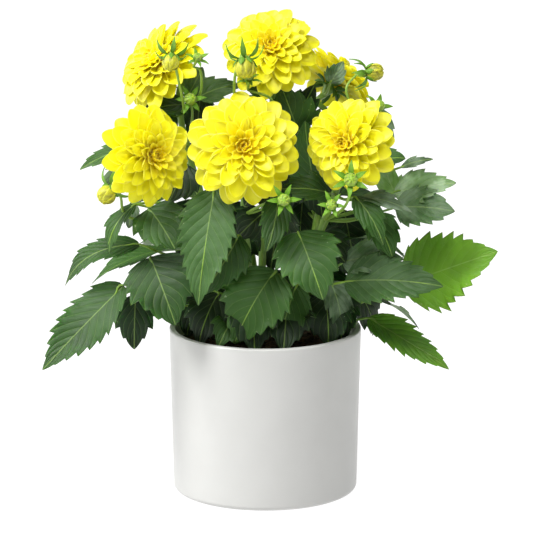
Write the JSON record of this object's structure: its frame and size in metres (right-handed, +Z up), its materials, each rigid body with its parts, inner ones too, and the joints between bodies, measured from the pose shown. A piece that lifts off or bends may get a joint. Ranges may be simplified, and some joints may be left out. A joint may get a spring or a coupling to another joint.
{
  "type": "potted dahlia",
  "caption": "Bushy dwarf dahlia with yellow double blooms, nodding buds and toothed green leaves, growing in soil in a plain white cylinder pot.",
  "frame": {"origin": "centre of the pot's flat underside", "axes": "+Z up along the pot's axis, -Y towards the side that the picture shows, +X to the picture's right"},
  "size_m": [0.3504, 0.2343, 0.3833],
  "materials": {
    "pot": "white, smooth, matt to satin glaze",
    "soil": "dark, damp, crumbly potting soil",
    "foliage": "mid green leaves and stalks with a soft sheen",
    "petals": "bright lemon yellow, soft and matt",
    "buds": "green-yellow, smooth, closed petals"
  },
  "bodies": {
    "root": {"pot": "pot", "soil": "soil", "stem_a": "foliage", "bloom_a": "petals", "stem_b": "foliage", "bloom_b": "petals", "stem_c": "foliage", "bloom_c": "petals", "stem_d": "foliage", "bloom_d": "petals", "stem_e": "foliage", "bloom_e": "petals", "stem_f": "foliage", "bloom_f": "petals", "stem_g": "foliage", "bloom_g": "petals", "bud_top_left": "buds", "bud_top": "buds", "bud_right": "buds", "bud_left": "buds"}
  },
  "joints": []
}
